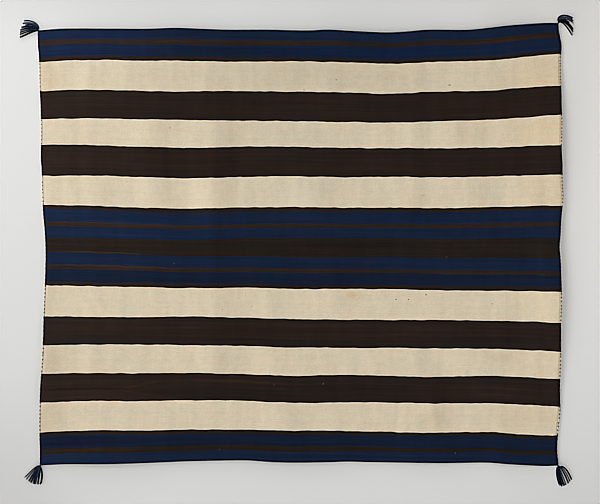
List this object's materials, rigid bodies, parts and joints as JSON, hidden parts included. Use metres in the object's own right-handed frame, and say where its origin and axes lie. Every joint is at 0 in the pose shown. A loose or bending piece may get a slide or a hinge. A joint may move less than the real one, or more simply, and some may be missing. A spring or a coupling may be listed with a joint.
{
  "type": "striped wearing blanket",
  "caption": "Woven wool wearing blanket lying flat, cream, brown and indigo stripes, twined edge cords and a tassel at each corner.",
  "frame": {"origin": "middle of the whole blanket's outline, tassels included, on the surface it lies on", "axes": "+X along the stripes to the picture's right, +Y up the cloth to the picture's top edge, +Z out of the face towards the viewer"},
  "size_m": [1.9144, 1.6316, 0.0122],
  "materials": {
    "web_wool": "matt weft-faced wool, cream, brown-black and indigo stripes",
    "cord_wool": "matt twined wool cord, dark indigo",
    "tassel_wool": "matt plied wool yarn, dark indigo"
  },
  "bodies": {
    "root": {"web": "web_wool", "cord_left": "cord_wool", "cord_right": "cord_wool", "cord_bottom": "cord_wool", "cord_top": "cord_wool", "tassel_top_left": "tassel_wool", "tassel_top_right": "tassel_wool", "tassel_bottom_left": "tassel_wool", "tassel_bottom_right": "tassel_wool"}
  },
  "joints": []
}
